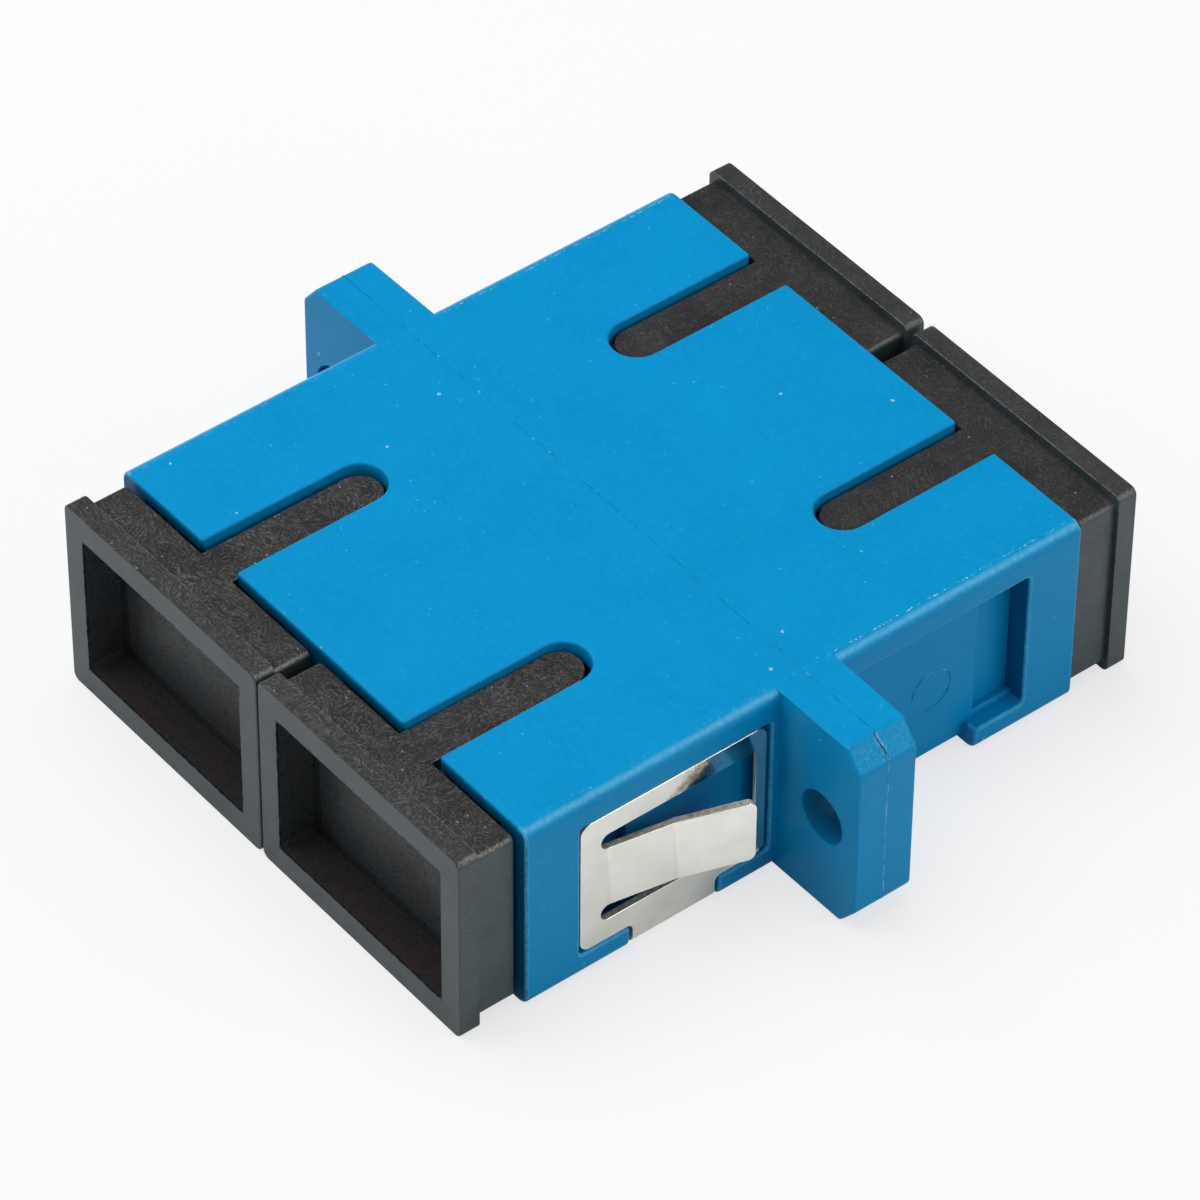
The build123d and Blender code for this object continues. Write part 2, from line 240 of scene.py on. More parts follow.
        # Paler on the long edges of the body, barely on the ears, and not at the weld or the ports: partly
        # rubbed wear, partly a painted highlight
        weld = add(tree, "Math", {0: aside, 1: 0.06 * MM}, operation="GREATER_THAN")
        rubbed_highlit_edges = add(tree, "Math", {0: across, 1: (SIDE_X - 0.15) * MM, 2: 0.35 * MM}, operation="COMPARE")
        rubbed_highlit_edges = add(tree, "Math", {0: rubbed_highlit_edges, 1: weld}, operation="MULTIPLY")
        share = add(tree, "MapRange", {"Value": grain, "From Min": 0.3, "From Max": 0.65,
                                       "To Min": 0.3 * rub_and_highlight, "To Max": rub_and_highlight})
        share = add(tree, "Math", {0: share, 1: rubbed_highlit_edges}, operation="MULTIPLY")
        base = add(tree, "Mix", {0: share, 6: base, 7: "#54bdea"}, data_type="RGBA")
        nicks = add(tree, "Math", {0: chips, 1: upper}, operation="MULTIPLY")
        nicks = add(tree, "Math", {0: nicks, 1: rubbed_highlit_edges}, operation="MULTIPLY")
        nicks = add(tree, "Math", {0: nicks, 1: 0.12}, operation="MULTIPLY")
        base = add(tree, "Mix", {0: nicks, 6: base, 7: "#9fd6ee"}, data_type="RGBA")
    if frosted:
        crystals = add(tree, "TexNoise", {"Vector": place, "Scale": 8000.0, "Detail": 3.0, "Roughness": 0.85})
        crystals = add(tree, "MapRange", {"Value": crystals, "From Min": 0.42, "From Max": 0.68,
                                          "To Max": frosted})
        base = add(tree, "Mix", {0: crystals, 6: base, 7: "#48b9e6"}, data_type="RGBA")

    gloss = add(tree, "MapRange", {"Value": grain, "From Min": 0.3, "From Max": 0.7,
                                   "To Min": 0.33 + 0.2 * frosted, "To Max": 0.42 + 0.2 * frosted})
    bump = add(tree, "Bump", {"Height": grain, "Strength": 0.25, "Distance": 0.01 * MM})
    shader = add(tree, "BsdfPrincipled", {"Base Color": base, "Roughness": gloss, "Normal": bump, "IOR": 1.5,
                                          "Specular IOR Level": 0.15})
    tree.links.new(shader.outputs[0], output.inputs["Surface"])
    return material


# Polyethylene filled with carbon black, moulded: charcoal and pitted, slate grey where it mirrors the floor
# at a low angle, a reflection partly painted into the colour of its upright faces. Its upper and lower faces
# keep the melt's short flow marks, 0.05 mm apart and 0.35 mm long in eddies, with a painted glint on their
# ridges, and its pocket has a ragged mouth, as it stuck to the tool.
def black_polyethylene(name, centre, flow, rub_and_highlight=0.0):
    material, tree, output = new_material(name)
    place = add(tree, "TexCoord").outputs["Object"]
    x, y, z = add(tree, "SeparateXYZ", {0: place}).outputs
    aside = add(tree, "Math", {0: y}, operation="ABSOLUTE")
    height = add(tree, "Math", {0: z}, operation="ABSOLUTE")
    normal = add(tree, "NewGeometry").outputs["True Normal"]
    normal = add(tree, "VectorMath", {0: normal}, operation="ABSOLUTE")
    out_x, out_y, out_z = add(tree, "SeparateXYZ", {0: normal}).outputs
    level = add(tree, "MapRange", {"Value": out_z, "From Min": 0.5, "From Max": 0.8})
    outer = add(tree, "Math", {0: height, 1: (POCKET_Z + 0.175) * MM}, operation="GREATER_THAN")
    broad = add(tree, "Math", {0: outer, 1: level}, operation="MULTIPLY")

    # How far a point lies outside the pocket's outline
    from_middle = add(tree, "Math", {0: x}, operation="ABSOLUTE")
    from_middle = add(tree, "Math", {0: from_middle, 1: centre * MM}, operation="SUBTRACT")
    from_middle = add(tree, "Math", {0: from_middle}, operation="ABSOLUTE")
    beyond_side = add(tree, "Math", {0: from_middle, 1: POCKET_X * MM}, operation="SUBTRACT")
    beyond_top = add(tree, "Math", {0: height, 1: POCKET_Z * MM}, operation="SUBTRACT")
    beyond = add(tree, "Math", {0: beyond_side, 1: beyond_top}, operation="MAXIMUM")
    pocket = add(tree, "Math", {0: beyond, 1: 0.01 * MM}, operation="LESS_THAN")
    rim = add(tree, "Math", {0: aside, 1: (RIM_Y - 0.1) * MM}, operation="GREATER_THAN")
    outer_rim = add(tree, "Math", {0: rim, 1: 0.15}, operation="MULTIPLY")

    # The marks run one way inside each bent cell, and turn a little from one cell to the next
    drift = add(tree, "TexNoise", {"Vector": place, "Scale": 800.0, "Detail": 1.0})
    drift = add(tree, "VectorMath", {0: drift.outputs["Color"], 1: (0.5, 0.5, 0.5)}, operation="SUBTRACT")
    drift = add(tree, "VectorMath", {0: drift, 3: 0.0013}, operation="SCALE")
    bent = add(tree, "VectorMath", {0: place, 1: drift}, operation="ADD")
    cells = add(tree, "TexVoronoi", {"Vector": bent, "Scale": 1100.0}).outputs["Position"]
    turn = add(tree, "TexNoise", {"Vector": cells, "Scale": 210.0, "Detail": 1.0})
    turn = add(tree, "MapRange", {"Value": turn, "From Min": 0.25, "From Max": 0.75, "To Min": -2 * pi,
                                  "To Max": 2 * pi})
    local = add(tree, "VectorMath", {0: bent, 1: cells}, operation="SUBTRACT")
    local = add(tree, "VectorRotate", {"Vector": local, "Angle": turn}, rotation_type="Z_AXIS")
    local = add(tree, "VectorMath", {0: local, 1: (2900.0, 21000.0, 2900.0)}, operation="MULTIPLY")
    stroke = add(tree, "TexNoise", {"Vector": local, "Scale": 1.0, "Detail": 2.0, "Roughness": 0.6})
    stroke = add(tree, "MapRange", {"Value": stroke, "From Min": 0.44, "From Max": 0.62})
    grain = add(tree, "TexNoise", {"Vector": place, "Scale": 8500.0, "Detail": 2.0, "Roughness": 0.7})
    broken = add(tree, "MapRange", {"Value": grain, "From Min": 0.36, "From Max": 0.6})
    cloud = add(tree, "TexNoise", {"Vector": place, "Scale": 480.0, "Detail": 3.0, "Roughness": 0.6})
    cloud = add(tree, "MapRange", {"Value": cloud, "From Min": 0.3, "From Max": 0.7})
    patch = add(tree, "MapRange", {"Value": cloud, "To Min": 0.5 * flow, "To Max": flow})
    flow_marks_and_glint = add(tree, "Math", {0: stroke, 1: broken}, operation="MULTIPLY")
    flow_marks_and_glint = add(tree, "Math", {0: flow_marks_and_glint, 1: broad}, operation="MULTIPLY")
    flow_marks_and_glint = add(tree, "Math", {0: flow_marks_and_glint, 1: patch}, operation="MULTIPLY")

    # Painted reflection of the floor: the upright faces are slate grey, lighter than the upper and lower
    # faces
    sides = add(tree, "Mix", {0: cloud, 6: "#303d40", 7: "#445155"}, data_type="RGBA")
    warm = add(tree, "Math", {0: pocket, 1: cloud}, operation="MULTIPLY")
    sides = add(tree, "Mix", {0: warm, 6: sides, 7: "#3b3638"}, data_type="RGBA")
    tops = add(tree, "Mix", {0: cloud, 6: "#292829", 7: "#363536"}, data_type="RGBA")
    lip = add(tree, "Math", {0: height, 1: UPPER_Z * MM}, operation="GREATER_THAN")
    paler = add(tree, "Math", {0: lip, 1: 0.2}, operation="MULTIPLY")
    tops = add(tree, "Mix", {0: paler, 6: tops, 7: "#4c4f50"}, data_type="RGBA")
    tops = add(tree, "Mix", {0: pocket, 6: tops, 7: "#363133"}, data_type="RGBA")
    base = add(tree, "Mix", {0: level, 6: sides, 7: tops}, data_type="RGBA")
    # The flow marks' pale colour is a painted glint on their ridges, and their relief goes into the bump
    base = add(tree, "Mix", {0: flow_marks_and_glint, 6: base, 7: "#75736d"}, data_type="RGBA")
    flecks = add(tree, "TexVoronoi", {"Vector": place, "Scale": 2600.0})
    lot = add(tree, "TexWhiteNoise", {"Vector": flecks.outputs["Position"]})
    reach = add(tree, "MapRange", {"Value": lot, "From Min": 0.6, "To Max": 0.13})
    fleck = add(tree, "Math", {0: flecks, 1: reach}, operation="LESS_THAN")
    fleck = add(tree, "Math", {0: fleck, 1: broad}, operation="MULTIPLY")
    fleck = add(tree, "Math", {0: fleck, 1: 0.5}, operation="MULTIPLY")
    base = add(tree, "Mix", {0: fleck, 6: base, 7: "#b4b4ad"}, data_type="RGBA")

    # Pits 0.05 mm across, thickest inside the pocket, where they gather in clouds, none on the broad faces
    pits = add(tree, "TexNoise", {"Vector": place, "Scale": 8000.0, "Detail": 3.0, "Roughness": 0.75})
    gather = add(tree, "MapRange", {"Value": cloud, "From Min": 0.9, "From Max": 0.1, "To Max": 0.05})
    thick = add(tree, "Math", {0: pocket, 1: gather, 2: 0.45}, operation="MULTIPLY_ADD")
    thick = add(tree, "Math", {0: thick, 1: pits}, operation="SUBTRACT")
    pits = add(tree, "MapRange", {"Value": thick, "From Max": 0.1})
    strong = add(tree, "Math", {0: pocket, 1: 0.2, 2: 0.3}, operation="MULTIPLY_ADD")
    weak = add(tree, "Math", {0: out_y, 1: outer_rim}, operation="MULTIPLY")
    strong = add(tree, "Math", {0: strong, 1: weak}, operation="SUBTRACT")
    strong = add(tree, "Mix", {0: broad, 2: strong, 3: 0.0})
    pits = add(tree, "Math", {0: pits, 1: strong}, operation="MULTIPLY")
    base = add(tree, "Mix", {0: pits, 6: base, 7: "#15181a"}, data_type="RGBA")

    # The mouth's ragged edge, eaten up to 0.13 mm into the rim, and the pocket's inner corners, matt and
    # darkened by painted shade
    nibble = add(tree, "TexNoise", {"Vector": place, "Scale": 2400.0, "Detail": 3.0, "Roughness": 0.7})
    nibble = add(tree, "MapRange", {"Value": nibble, "From Min": 0.48, "From Max": 0.75, "To Max": 0.13 * MM})
    eaten = add(tree, "Math", {0: beyond, 1: nibble}, operation="LESS_THAN")
    eaten = add(tree, "Math", {0: eaten, 1: rim}, operation="MULTIPLY")
    eaten = add(tree, "Math", {0: eaten, 1: 0.7}, operation="MULTIPLY")
    base = add(tree, "Mix", {0: eaten, 6: base, 7: "#1b2225"}, data_type="RGBA")
    turned = add(tree, "Math", {0: out_x, 1: out_z}, operation="ADD")
    turned = add(tree, "Math", {0: turned, 1: out_y}, operation="MULTIPLY")
    turned = add(tree, "MapRange", {"Value": turned, "From Min": 0.1, "From Max": 0.35})
    inner = add(tree, "Math", {0: turned, 1: pocket}, operation="MULTIPLY")
    # Painted shade in the pocket's inner corners
    dull = add(tree, "Math", {0: inner, 1: 0.6}, operation="MULTIPLY")
    base = add(tree, "Mix", {0: dull, 6: base, 7: "#161b1d"}, data_type="RGBA")

    # Pale lines on the upper and lower corners that run along the cap, picked out by the slope of the face:
    # partly rubbed wear, partly a painted highlight
    corner = add(tree, "Math", {0: out_x, 1: out_z}, operation="MULTIPLY")
    corner = add(tree, "MapRange", {"Value": corner, "From Min": 0.36, "From Max": 0.49,
                                    "To Max": 0.7 * flow})
    corner = add(tree, "Math", {0: corner, 1: outer}, operation="MULTIPLY")
    corner = add(tree, "Math", {0: corner, 1: broken}, operation="MULTIPLY")
    base = add(tree, "Mix", {0: corner, 6: base, 7: "#8f8f82"}, data_type="RGBA")
    if rub_and_highlight:
        # A pale broken line on the lip's back edge: partly rubbed wear, partly a painted highlight
        back_edge = add(tree, "Math", {0: aside, 1: LIP_BACK_Y * MM, 2: 0.15 * MM}, operation="COMPARE")
        share = add(tree, "Math", {0: back_edge, 1: lip}, operation="MULTIPLY")
        share = add(tree, "Math", {0: share, 1: rub_and_highlight}, operation="MULTIPLY")
        share = add(tree, "Math", {0: share, 1: broken}, operation="MULTIPLY")
        base = add(tree, "Mix", {0: share, 6: base, 7: "#93928f"}, data_type="RGBA")

    relief = add(tree, "Math", {0: grain, 1: 0.45}, operation="MULTIPLY")
    relief = add(tree, "Math", {0: relief, 1: flow_marks_and_glint}, operation="ADD")
    bump = add(tree, "Bump", {"Height": relief, "Strength": 0.35, "Distance": 0.02 * MM})
    rough = add(tree, "MapRange", {"Value": inner, "To Min": 0.42, "To Max": 0.7})
    matt = add(tree, "Math", {0: inner, 1: eaten}, operation="ADD")
    matt = add(tree, "Math", {0: matt, 1: pits}, operation="ADD")
    cloudy = add(tree, "Math", {0: pocket, 1: 0.3, 2: 0.12}, operation="MULTIPLY_ADD")
    cloudy = add(tree, "Math", {0: cloudy, 1: cloud}, operation="MULTIPLY")
    matt = add(tree, "Math", {0: matt, 1: cloudy}, operation="ADD")
    sheen = add(tree, "MapRange", {"Value": matt, "To Min": 0.58, "To Max": 0.06})
    shader = add(tree, "BsdfPrincipled", {"Base Color": base, "Normal": bump, "Roughness": rough, "IOR": 1.5,
                                          "Specular IOR Level": sheen})
    tree.links.new(shader.outputs[0], output.inputs["Surface"])
    return material


# Stainless spring strip, bright rolled: near-white metal with a faint cloudiness, and a warm brown patch on
# the bar above the right-hand tongue.
def rolled_stainless():
    material, tree, output = new_material("rolled_stainless")
    place = add(tree, "TexCoord").outputs["Object"]
    cloud = add(tree, "TexNoise", {"Vector": place, "Scale": 650.0, "Detail": 3.0, "Roughness": 0.55})
    cloud = add(tree, "MapRange", {"Value": cloud, "From Min": 0.3, "From Max": 0.7})
    base = add(tree, "Mix", {0: cloud, 6: "#eeede2", 7: "#fcfbf2"}, data_type="RGBA")
    patch_centre = (STRIP_X * MM, -5.3 * MM, 2.35 * MM)
    brown_patch = add(tree, "VectorMath", {0: place, 1: patch_centre}, operation="DISTANCE")
    brown_patch = add(tree, "MapRange", {"Value": brown_patch, "From Min": 1.9 * MM, "From Max": 0.2 * MM})
    blotch = add(tree, "TexNoise", {"Vector": place, "Scale": 3800.0, "Detail": 4.0, "Roughness": 0.75})
    brown_patch = add(tree, "Math", {0: brown_patch, 1: blotch}, operation="MULTIPLY")
    brown_patch = add(tree, "MapRange", {"Value": brown_patch, "From Min": 0.22, "From Max": 0.5, "To Max": 0.75})
    base = add(tree, "Mix", {0: brown_patch, 6: base, 7: "#5a4d3e"}, data_type="RGBA")
    rough = add(tree, "MapRange", {"Value": cloud, "To Min": 0.09, "To Max": 0.15})
    bump = add(tree, "Bump", {"Height": cloud, "Strength": 0.06, "Distance": 0.02 * MM})
    shader = add(tree, "BsdfPrincipled", {"Base Color": base, "Roughness": rough, "Normal": bump,
                                          "Metallic": 1.0})
    tree.links.new(shader.outputs[0], output.inputs["Surface"])
    return material


# The same strip where the press tool cut it: torn and brownish grey, with bright crumbs 0.1 mm across.
def sheared_stainless():
    material, tree, output = new_material("sheared_stainless")
    place = add(tree, "TexCoord").outputs["Object"]
    tear = add(tree, "TexNoise", {"Vector": place, "Scale": 4600.0, "Detail": 4.0, "Roughness": 0.75})
    dull = add(tree, "MapRange", {"Value": tear, "From Min": 0.3, "From Max": 0.55})
    base = add(tree, "Mix", {0: dull, 6: "#857b6d", 7: "#cbc2b1"}, data_type="RGBA")
    bright = add(tree, "MapRange", {"Value": tear, "From Min": 0.58, "From Max": 0.66})
    base = add(tree, "Mix", {0: bright, 6: base, 7: "#f4f0e6"}, data_type="RGBA")
    bump = add(tree, "Bump", {"Height": tear, "Strength": 0.5, "Distance": 0.03 * MM})
    shader = add(tree, "BsdfPrincipled", {"Base Color": base, "Normal": bump, "Metallic": 0.4,
                                          "Roughness": 0.55})
    tree.links.new(shader.outputs[0], output.inputs["Surface"])
    return material


# The end of the strip's window: the punch burnished its outer part, a thin white line, beside the torn inner
# part, which is painted dark as shadow.
def burnished_stainless():
    material, tree, output = new_material("burnished_stainless")
    place = add(tree, "TexCoord").outputs["Object"]
    cloud = add(tree, "TexNoise", {"Vector": place, "Scale": 3000.0, "Detail": 3.0, "Roughness": 0.6})
    base = add(tree, "Mix", {0: cloud, 6: "#e2e4e2", 7: "#fbfbf8"}, data_type="RGBA")
    across = add(tree, "SeparateXYZ", {"Vector": place}).outputs["X"]
    across = add(tree, "Math", {0: across}, operation="ABSOLUTE")
    # Painted shadow on the torn inner part of the face
    torn_part_shadow = add(tree, "MapRange", {"Value": across, "From Min": (STRIP_X - 0.13) * MM,
                                  "From Max": (STRIP_X - 0.16) * MM})
    base = add(tree, "Mix", {0: torn_part_shadow, 6: base, 7: "#2c3438"}, data_type="RGBA")
    shader = add(tree, "BsdfPrincipled", {"Base Color": base, "Metallic": 0.15, "Roughness": 0.45})
    tree.links.new(shader.outputs[0], output.inputs["Surface"])
    return material


# Natural acetal, moulded: milky ivory with a waxy sheen.
def natural_acetal():
    material, tree, output = new_material("natural_acetal")
    place = add(tree, "TexCoord").outputs["Object"]
    cloud = add(tree, "TexNoise", {"Vector": place, "Scale": 800.0, "Detail": 3.0, "Roughness": 0.6})
    base = add(tree, "Mix", {0: cloud, 6: "#cdc6b2", 7: "#dfd9c8"}, data_type="RGBA")
    bump = add(tree, "Bump", {"Height": cloud, "Strength": 0.1, "Distance": 0.02 * MM})
    shader = add(tree, "BsdfPrincipled", {"Base Color": base, "Normal": bump, "Roughness": 0.4, "IOR": 1.48})
    tree.links.new(shader.outputs[0], output.inputs["Surface"])
    return material


# Zirconia, ground and polished: white and glossy, with grinding lines 0.05 mm apart round the bore.
def ground_zirconia():
    material, tree, output = new_material("ground_zirconia")
    place = add(tree, "TexCoord").outputs["Object"]
    rings = add(tree, "TexNoise", {"Vector": add(tree, "VectorMath", {0: place, 1: (300.0, 20000.0, 300.0)},
                                                 operation="MULTIPLY"), "Scale": 1.0, "Detail": 2.0})
    base = add(tree, "Mix", {0: rings, 6: "#e9e6dd", 7: "#f3f1ea"}, data_type="RGBA")
    bump = add(tree, "Bump", {"Height": rings, "Strength": 0.1, "Distance": 0.004 * MM})
    shader = add(tree, "BsdfPrincipled", {"Base Color": base, "Normal": bump, "Roughness": 0.12, "IOR": 2.1})
    tree.links.new(shader.outputs[0], output.inputs["Surface"])
    return material


# ABS flash squeezed out of the weld: thin, so it bends white. Its "pale" attribute says how far, and 0 is a
# dark crack.
def weld_flash():
    material, tree, output = new_material("weld_flash_abs")
    pale = add(tree, "Attribute", attribute_name="pale").outputs["Fac"]
    place = add(tree, "TexCoord").outputs["Object"]
    grain = add(tree, "TexNoise", {"Vector": place, "Scale": 6000.0, "Detail": 2.0, "Roughness": 0.7})
    sound = add(tree, "MapRange", {"Value": pale, "From Max": 0.3})
    base = add(tree, "Mix", {0: sound, 6: "#003f63", 7: "#0090c9"}, data_type="RGBA")
    white = add(tree, "MapRange", {"Value": pale, "From Min": 0.3, "From Max": 1.0})
    base = add(tree, "Mix", {0: white, 6: base, 7: "#a4dcf2"}, data_type="RGBA")
    bump = add(tree, "Bump", {"Height": grain, "Strength": 0.3, "Distance": 0.01 * MM})
    shader = add(tree, "BsdfPrincipled", {"Base Color": base, "Normal": bump, "Roughness": 0.45, "IOR": 1.5,
                                          "Specular IOR Level": 0.25})
    tree.links.new(shader.outputs[0], output.inputs["Surface"])
    return material


# Finished copies of the moulded and pressed pieces: the CAD solid with its corners as the tool leaves them
WELD_CORNER = 0.03
EAR_CORNER = 0.14
HOUSING_CORNER = 0.12
HOLE_CORNER = 0.02
CAP_CORNER = 0.07
LIP_CORNER = 0.035
MOUTH_CORNER = 0.03
HOLDER_CORNER = 0.05
SLEEVE_CORNER = 0.04
STRIP_CORNER = 0.02
COPLANAR = radians(0.5)
SHARP = radians(30)
SAME_VERTEX_METRES = 2e-7


def finished(node, body, materials, corner, rule=None, faces=None):
    """A copy of a CAD node whose flat faces are joined up and whose sharp outer edges are rounded.

    Each such edge gets an arc of the given width, or of the width that rule names for its two ends. The arcs
    take the second material, and inner corners stay sharp.
    """
    mesh = bmesh.new()
    mesh.from_mesh(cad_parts[node].data)
    bmesh.ops.remove_doubles(mesh, verts=mesh.verts, dist=SAME_VERTEX_METRES)
    bmesh.ops.dissolve_limit(mesh, angle_limit=COPLANAR, use_dissolve_boundaries=False,
                             verts=mesh.verts, edges=mesh.edges)
    for face in mesh.faces:
        face.material_index = faces(face) if faces else 0
        face.smooth = True
    weight = mesh.edges.layers.float.new("bevel_weight_edge")
    for edge in mesh.edges:
        if edge.calc_face_angle(0) > SHARP:
            width = rule(edge) if rule else corner
            rounded = edge.is_convex and width > 0
            edge.smooth = rounded
            edge[weight] = width / corner if rounded else 0.0
    data = bpy.data.meshes.new(node + "_finished")
    mesh.to_mesh(data)
    mesh.free()
    piece = bpy.data.objects.new(node + "_finished", data)
    bpy.context.scene.collection.objects.link(piece)
    for material in materials:
        data.materials.append(material)
    bevel = piece.modifiers.new("rounded_corners", "BEVEL")
    bevel.limit_method = "WEIGHT"
    bevel.width = corner * MM
    bevel.segments = 3
    bevel.material = min(1, len(materials) - 1)
    bevel.use_clamp_overlap = False
    bevel.loop_slide = False
    normals = piece.modifiers.new("even_normals", "WEIGHTED_NORMAL")
    normals.keep_sharp = True
    normals.weight = 90
    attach(piece, body)
    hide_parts(node)
    return piece


def housing_corner(edge):
    """Corner of a housing edge: a hairline at the weld plane, softest round the ears, finer elsewhere."""
    ends = np.array([v.co for v in edge.verts]) / MM
    if np.all(np.abs(ends[:, 1]) < 1e-3):
        return WELD_CORNER
    if np.all(np.hypot(np.abs(ends[:, 0]) - SCREW_X, ends[:, 2]) < SCREW_RADIUS + 0.1):
        return HOLE_CORNER
    return EAR_CORNER if np.all(np.abs(ends[:, 0]) > SIDE_X + 0.1) else HOUSING_CORNER


def frosted_face(face):
    """2 on the ears' sloping faces, which the tool left frosted."""
    x, _, z = face.normal
    ear = abs(face.calc_center_median().x) / MM > SLOPE_X + 0.02
    return 2 if ear and 0.3 < abs(x) < 0.95 and 0.3 < abs(z) < 0.95 else 0


def cap_corner(edge):
    """Corner of a cap edge: none on the plug's hidden tip, fine at the pocket's mouth and behind the lip."""
    ends = np.array([v.co for v in edge.verts]) / MM
    if np.all(np.abs(ends[:, 1]) < PLUG_TIP_Y):
        return 0.0
    if np.all(np.abs(np.abs(ends[:, 1]) - LIP_BACK_Y) < 0.02):
        return LIP_CORNER if np.all(np.abs(ends[:, 2]) > UPPER_Z) else 0.0
    mouth = np.all(np.abs(ends[:, 1]) > RIM_Y - 0.05) and np.all(np.abs(ends[:, 2]) < POCKET_Z + 0.375)
    return MOUTH_CORNER if mouth else CAP_CORNER


def sheared_face(face):
    """2 on the faces that the press tool tore, whose normal lies in the sheet, and 3 on the window's end."""
    x, y, _ = face.normal
    centre = face.calc_center_median() / MM
    if abs(y) > 0.9:
        return 3 if centre.y > WINDOW_END_Y else 2
    return 2 if abs(x) < 0.3 and centre.z > STRAP_BEND_Z else 0


# Flash: thin beads that stand proud of the mouldings


def wander(seed, count, knots, low, high):
    """A smooth random curve over count steps, closed on itself: cubic easing between even random knots."""
    values = np.random.default_rng(seed).uniform(low, high, knots)
    at = np.arange(count) * knots / count
    first = at.astype(int)
    ease = at - first
    ease = ease * ease * (3 - 2 * ease)
    return values[first % knots] * (1 - ease) + values[(first + 1) % knots] * ease


def along(corners, step, closed):
    """Points every step along straight runs between corners, with each point's unit direction of travel."""
    corners = np.asarray(corners, float)
    ends = np.roll(corners, -1, axis=0) if closed else corners[1:]
    starts = corners if closed else corners[:-1]
    lengths = np.linalg.norm(ends - starts, axis=1)
    total = np.concatenate([[0.0], np.cumsum(lengths)])
    at = np.arange(0.0, total[-1], step)
    run = np.clip(np.searchsorted(total, at, side="right") - 1, 0, len(lengths) - 1)
    direction = (ends - starts) / lengths[:, None]
    return starts[run] + direction[run] * (at - total[run])[:, None], direction[run]


def bead(name, centre, direction, outward, width, height, pale, closed):
    """A tube of half width and half height that vary along a path, joined into a mesh.

    With b = direction x outward, a ring's point at angle a is centre + width cos(a) b + height sin(a)
    outward.
    """
    sides = 8
    side = np.cross(direction, outward)
    angle = np.arange(sides) * 2 * pi / sides
    points = (centre[:, None] + (width[:, None] * np.cos(angle))[..., None] * side[:, None]
              + (height[:, None] * np.sin(angle))[..., None] * outward[:, None])
    rows = len(centre)
    u = np.arange(rows if closed else rows - 1)[:, None]
    v = np.arange(sides)[None, :]
    after, beside = (u + 1) % rows * sides, (v + 1) % sides
    quads = np.stack([u * sides + v, after + v, after + beside, u * sides + beside], axis=-1)
    quads = quads.reshape(-1, 4).tolist()
    if not closed:
        quads += [list(range(sides)), list(range(rows * sides - 1, (rows - 1) * sides - 1, -1))]
    mesh = bpy.data.meshes.new(name)
    mesh.from_pydata((points.reshape(-1, 3) * MM).tolist(), [], quads)
    mesh.polygons.foreach_set("use_smooth", np.ones(len(quads), bool))
    shade = mesh.attributes.new("pale", "FLOAT", "POINT")
    shade.data.foreach_set("value", np.repeat(pale, sides).astype(np.float32))
    mesh.update()
    return mesh


def place_piece(mesh, material, body):
    """Link a finished mesh, give it its material and let it ride."""
    piece = bpy.data.objects.new(mesh.name, mesh)
    bpy.context.scene.collection.objects.link(piece)
    mesh.materials.append(material)
    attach(piece, body)
    return piece


def weld_bead():
    """The weld's flash round the flange: a bead along its outline in the plane y = 0, whose size wanders.

    On the ears' ends it shows as a pale line. On the broad faces it lies below the surface, but for the
    places in crumbs, each given as x and length.
    """
    outline = [(SLOPE_X, TOP_Z), (EAR_X, SLOPE_Z), (EAR_X, -SLOPE_Z), (SLOPE_X, -TOP_Z),
               (-SLOPE_X, -TOP_Z), (-EAR_X, -SLOPE_Z), (-EAR_X, SLOPE_Z), (-SLOPE_X, TOP_Z)]
    centre, direction = along([(x, 0.0, z) for x, z in outline], 0.04, True)
    outward = np.cross(np.array([0.0, 1.0, 0.0]), direction)
    outward *= np.sign(np.sum(outward * centre, axis=1))[:, None]
    count = len(centre)
    centre[:, 1] += wander(3, count, 260, -0.02, 0.02) + wander(4, count, 60, -0.025, 0.025)
    on_end = np.abs(centre[:, 0]) > SLOPE_X + 0.02
    pale = np.where(on_end, wander(5, count, 300, 0.25, 0.8), wander(8, count, 200, 0.0, 0.3))
    height = np.where(on_end, 0.01 + 0.012 * pale, 0.006)
    sink = np.where(on_end, 0.004, 0.012)
    crumbs = np.array([(-11.7, 0.25), (-11.3, 0.2), (-10.3, 0.12), (-7.65, 0.2), (-6.3, 0.14), (-5.5, 0.12),
                       (-4.2, 0.1), (-3.2, 0.12), (-0.3, 0.1), (1.2, 0.16), (4.1, 0.12), (6.6, 0.1),
                       (8.9, 0.1), (11.2, 0.12), (12.6, 0.35), (13.4, 0.14), (14.9, 0.1)])
    near = np.min(np.abs(centre[:, :1] - crumbs[None, :, 0]) - crumbs[None, :, 1] / 2, axis=1) < 0
    near &= ~on_end
    pale = np.where(near, wander(6, count, 900, 0.1, 0.85), pale)
    height = np.where(near, 0.012 + 0.018 * pale, height)
    sink = np.where(near, 0.0, sink)
    width = np.where(on_end | near, 0.022, 0.015) * wander(7, count, 420, 0.7, 1.5)
    return bead("weld_flash", centre - outward * sink[:, None], direction, outward, width, height, pale, True)


